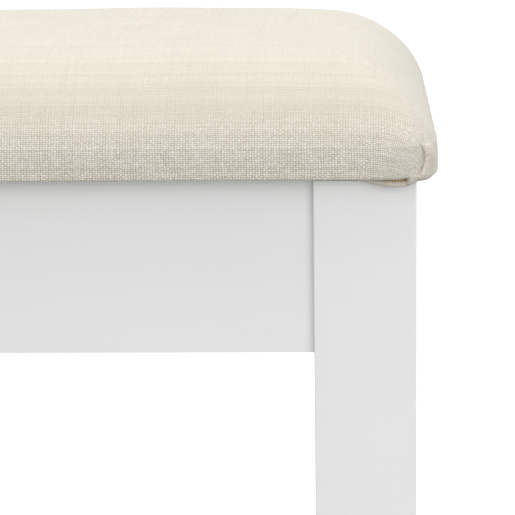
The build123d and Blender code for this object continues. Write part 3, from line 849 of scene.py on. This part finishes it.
def soft_finish(name, light, dark, scale, depth, roughness):
    """Foam, felted fibre, rubber or moulded plastic: a fine irregular grain in tone and relief."""
    f = Finish(name, Roughness=roughness)
    cell = f.noise(f.place(), scale, 4.0, 0.65)
    patch = f.noise(f.place(), scale * 0.06, 2.0)
    tone = f.math("ADD", f.math("MULTIPLY", cell, 0.6), f.math("MULTIPLY", patch, 0.4))
    f.colour(f.blend(f.between(tone, 0.35, 0.65), dark, light))
    f.relief(cell, depth, 0.6)
    return f.material


def lining_finish():
    """Black non-woven dust cloth: pressed fibres with a grid of bond points."""
    f = Finish("black_lining", Roughness=0.95, Sheen_Weight=0.25, Sheen_Roughness=0.5)
    fibre = f.noise(f.place(), 900.0, 4.0, 0.7)
    split = f.node("SeparateXYZ", f.place())
    dots = [
        f.math("SINE", f.math("MULTIPLY", split.outputs[axis], 2 * math.pi / (2.4 * MM)))
        for axis in (0, 1)
    ]
    bond = f.between(f.math("MULTIPLY", *dots), 0.35, 0.8)
    f.colour(f.blend(f.between(fibre, 0.35, 0.7), (0.012, 0.012, 0.013), (0.05, 0.05, 0.052)))
    f.relief(f.math("SUBTRACT", fibre, bond), 0.0002, 0.6)
    return f.material


paint_along = {
    axis: paint_finish(f"white_paint_{axis}", stretch)
    for axis, stretch in (("x", (0.06, 1, 1)), ("y", (1, 0.06, 1)), ("z", (1, 1, 0.06)))
}
finishes = {
    "linen": linen_finish("linen_weave", LINEN_DARK, LINEN_LIGHT),
    "plywood": plywood_finish(),
    "lining": lining_finish(),
    "seat_foam": soft_finish("cream_foam", (0.72, 0.62, 0.38), (0.55, 0.45, 0.25), 700.0, 0.0006, 0.9),
    "wadding": soft_finish("white_wadding", (0.80, 0.80, 0.77), (0.66, 0.66, 0.63), 260.0, 0.0010, 0.95),
    "zinc_steel": metal_finish("zinc_plate", (0.60, 0.61, 0.63), (0.44, 0.45, 0.48), 0.34, (1, 1, 0.05)),
    "staple_wire": metal_finish("staple_steel", (0.62, 0.63, 0.65), (0.42, 0.43, 0.45), 0.3, (0.1, 1, 1)),
    "hinge_brass": metal_finish("brass_plate", (0.72, 0.50, 0.20), (0.50, 0.33, 0.12), 0.3, (0.05, 1, 1)),
    "glide_plastic": soft_finish(
        "glide_plastic", (0.70, 0.70, 0.67), (0.62, 0.62, 0.59), 900.0, 0.00006, 0.45
    ),
    "bumper_rubber": soft_finish(
        "bumper_rubber", (0.34, 0.34, 0.33), (0.24, 0.24, 0.235), 700.0, 0.0001, 0.7
    ),
}


def paint_for(node):
    """Brush lines run along each piece of the frame."""
    if node.startswith("leg_"):
        return paint_along["z"]
    return paint_along["y" if node in ("apron_left", "apron_right") else "x"]


for part in frame["record"]["subparts"]:
    node, slot = part["node"], part["material_slot"]
    mesh = frame["nodes"][node].data
    mesh.materials.clear()
    mesh.materials.append(paint_for(node) if slot == "painted_wood" else finishes[slot])
# painted shade for the inside of each tuck's pocket
linen_in_pocket_shade = linen_finish("linen_pocket_shade", POCKET_SHADE_DARK, POCKET_SHADE_LIGHT, CRISP_ON_FOLDS)
linen_folded = linen_finish("linen_folded", LINEN_DARK, LINEN_LIGHT, CRISP_ON_FOLDS)
for piece in (cover, wadding, foam):
    piece.data.materials.append(finishes[piece["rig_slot"]])
for piece in (*flaps, *tucks):
    piece.data.materials.append(linen_folded)
for piece in tucks:
    piece.data.materials.append(linen_in_pocket_shade)  # inside the pocket: painted shade, the warm brown of light bounced in its shadow

# ---------------------------------------------------------------- floor and light
floor_mesh = bpy.data.meshes.new("studio_floor")
half_floor = FLOOR_SIZE / 2
floor_corners = [(x * half_floor, y * half_floor, 0) for x, y in ((-1, -1), (1, -1), (1, 1), (-1, 1))]
floor_mesh.from_pydata(floor_corners, [], [(0, 1, 2, 3)])
floor = bpy.data.objects.new("studio_floor", floor_mesh)
bpy.context.scene.collection.objects.link(floor)
floor_finish = Finish(
    "studio_white", Roughness=0.9, Emission_Color=(1.0, 1.0, 1.0), Emission_Strength=0.3
)
dust = floor_finish.noise(floor_finish.place(), 3.0)
floor_finish.colour(floor_finish.blend(dust, (0.90, 0.90, 0.90), (0.93, 0.93, 0.93)))
floor_mesh.materials.append(floor_finish.material)
floor.visible_diffuse = False

world = bpy.data.worlds.new("studio")
bpy.context.scene.world = world
world.use_nodes = True
tree = world.node_tree
background = tree.nodes["Background"]
direction = tree.nodes.new("ShaderNodeTexCoord")
split = tree.nodes.new("ShaderNodeSeparateXYZ")
tree.links.new(direction.outputs["Generated"], split.inputs[0])
ramp = tree.nodes.new("ShaderNodeMapRange")
tree.links.new(split.outputs[2], ramp.inputs[0])
for index, value in enumerate((-HORIZON_BLUR, HORIZON_BLUR, GROUND, SKY), start=1):
    ramp.inputs[index].default_value = value
# the backdrop itself is plain white, above the floor's far edge as on it
seen = tree.nodes.new("ShaderNodeLightPath")
backdrop = tree.nodes.new("ShaderNodeMath")
backdrop.operation = "MAXIMUM"
tree.links.new(seen.outputs["Is Camera Ray"], backdrop.inputs[0])
tree.links.new(ramp.outputs[0], backdrop.inputs[1])
tree.links.new(backdrop.outputs[0], background.inputs["Strength"])
background.inputs["Color"].default_value = (1, 1, 1, 1)


def soft_box(name, place, target, size, power):
    """A large square studio light aimed at a point."""
    light = bpy.data.lights.new(name, "AREA")
    light.shape, light.size, light.energy = "SQUARE", size, power
    lamp = bpy.data.objects.new(name, light)
    lamp.location = place
    lamp.rotation_euler = (Vector(target) - Vector(place)).to_track_quat("-Z", "Y").to_euler()
    bpy.context.scene.collection.objects.link(lamp)


seat_middle = (0, 0, cover_high.z)
soft_box("overhead", OVERHEAD_PLACE, seat_middle, OVERHEAD_SIZE, OVERHEAD_POWER)
soft_box("front_fill", FILL_PLACE, seat_middle, FILL_SIZE, FILL_POWER)

# ---------------------------------------------------------------- camera
leg_low, leg_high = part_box("leg_front_right")
camera_data = bpy.data.cameras.new("camera")
camera = bpy.data.objects.new("camera", camera_data)
bpy.context.scene.collection.objects.link(camera)
camera_data.sensor_width = SENSOR_WIDTH
camera_data.lens = FOCAL_PX / IMAGE_WIDTH * camera_data.sensor_width
camera_data.dof.use_dof = False
camera.location = (
    leg_high.x + CAMERA_RIGHT, leg_low.y - CAMERA_AWAY, leg_high.z + CAMERA_ABOVE,
)
camera_data.shift_x, camera_data.shift_y = CAMERA_SHIFT
aim = Euler((math.radians(90 - CAMERA_TILT), 0, math.radians(CAMERA_TURN))).to_matrix()
camera.rotation_euler = (aim @ Matrix.Rotation(math.radians(CAMERA_ROLL), 3, "Z")).to_euler()
bpy.context.scene.camera = camera

scene = bpy.context.scene
scene.view_settings.view_transform = "Standard"
scene.view_settings.look = "None"
